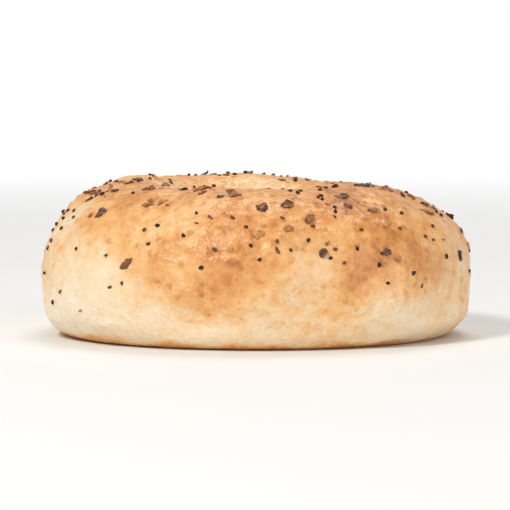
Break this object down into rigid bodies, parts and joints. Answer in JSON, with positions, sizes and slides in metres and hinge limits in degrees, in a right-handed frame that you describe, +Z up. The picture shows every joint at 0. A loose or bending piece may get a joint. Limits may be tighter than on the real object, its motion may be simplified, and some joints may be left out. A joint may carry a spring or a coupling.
{
  "type": "onion bagel",
  "caption": "Whole onion bagel: a baked ring of bread with a domed golden top, a hole through its middle and a flat base, topped with dried onion flakes.",
  "frame": {"origin": "on the surface that the bagel stands on, under the middle of its outline", "axes": "+Z up through the hole, from the flat base to the domed top; +X along the bagel's longer diameter; -Y is the side that faces the viewer"},
  "size_m": [0.1028, 0.0982, 0.0372],
  "materials": {
    "crust": "satin",
    "onion": "satin"
  },
  "bodies": {
    "root": {"bread": "crust", "onion_flake_01": "onion", "onion_flake_02": "onion", "onion_flake_03": "onion", "onion_flake_04": "onion", "onion_flake_05": "onion", "onion_flake_06": "onion", "onion_flake_07": "onion", "onion_flake_08": "onion", "onion_flake_09": "onion", "onion_flake_10": "onion", "onion_flake_11": "onion", "onion_flake_12": "onion", "onion_flake_13": "onion", "onion_flake_14": "onion", "onion_flake_15": "onion", "onion_flake_16": "onion", "onion_flake_17": "onion", "onion_flake_18": "onion", "onion_flake_19": "onion", "onion_flake_20": "onion", "onion_flake_21": "onion", "onion_flake_22": "onion", "onion_flake_23": "onion", "onion_flake_24": "onion", "onion_flake_25": "onion", "onion_flake_26": "onion", "onion_flake_27": "onion", "onion_flake_28": "onion", "onion_flake_29": "onion", "onion_flake_30": "onion", "onion_flake_31": "onion", "onion_flake_32": "onion", "onion_flake_33": "onion", "onion_flake_34": "onion", "onion_flake_35": "onion", "onion_flake_36": "onion", "onion_flake_37": "onion", "onion_flake_38": "onion", "onion_flake_39": "onion", "onion_flake_40": "onion", "onion_flake_41": "onion", "onion_flake_42": "onion", "onion_flake_43": "onion", "onion_flake_44": "onion", "onion_flake_45": "onion", "onion_flake_46": "onion", "onion_flake_47": "onion", "onion_flake_48": "onion", "onion_flake_49": "onion", "onion_flake_50": "onion", "onion_flake_51": "onion", "onion_flake_52": "onion"}
  },
  "joints": []
}
